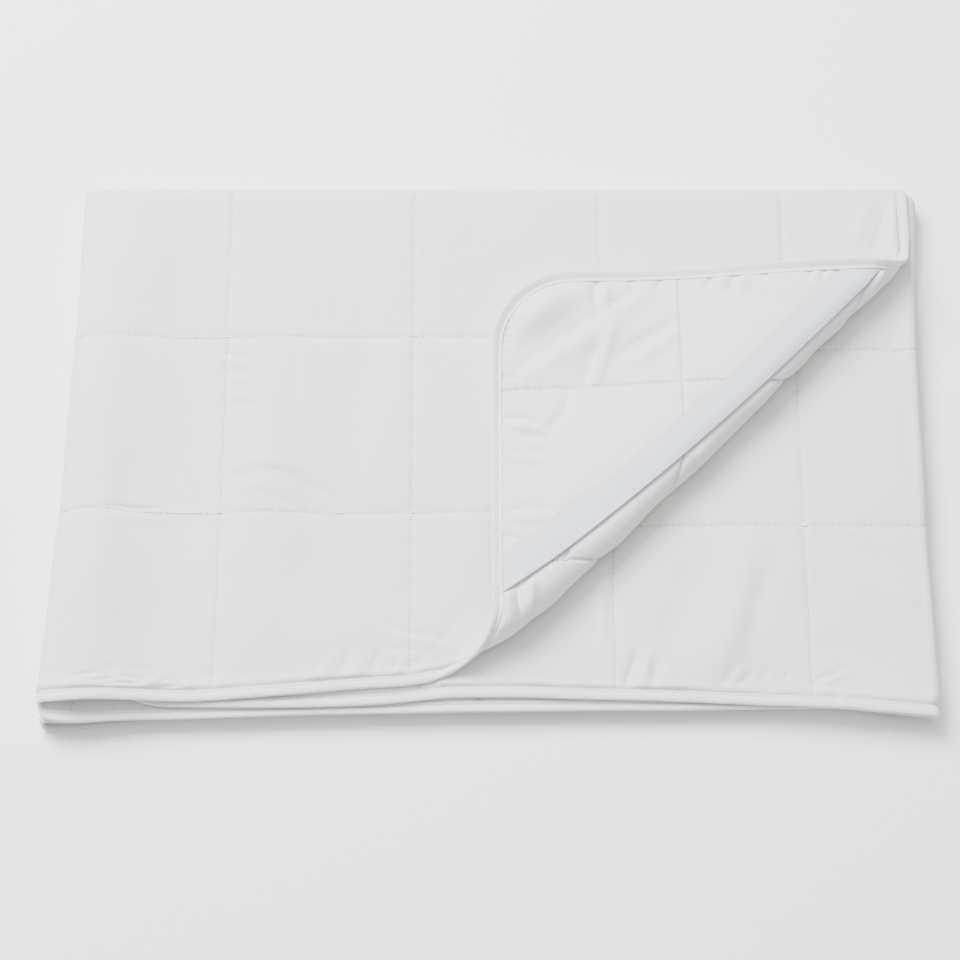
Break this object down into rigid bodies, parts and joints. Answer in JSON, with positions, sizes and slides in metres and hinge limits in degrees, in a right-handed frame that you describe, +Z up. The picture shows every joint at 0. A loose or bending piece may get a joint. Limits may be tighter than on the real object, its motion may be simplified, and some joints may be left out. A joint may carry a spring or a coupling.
{
  "type": "folded quilted mattress protector",
  "caption": "White quilted mattress protector for a single bed, folded into a flat stack, with bound edges, one corner turned back and its elastic corner strap showing.",
  "frame": {"origin": "on the surface it lies on, under the middle of the folded stack's box", "axes": "+X to the right along the stack's long side, +Y to the fold in half at the back, +Z up"},
  "size_m": [0.6944, 0.4558, 0.0612],
  "materials": {
    "quilted_cloth": "matte soft brushed off-white cloth, quilted in squares",
    "binding_tape": "matte plain woven tape, cool white",
    "elastic": "ribbed flat elastic, bluish white"
  },
  "bodies": {
    "root": {"pad": "quilted_cloth", "binding": "binding_tape", "strap": "elastic"}
  },
  "joints": []
}
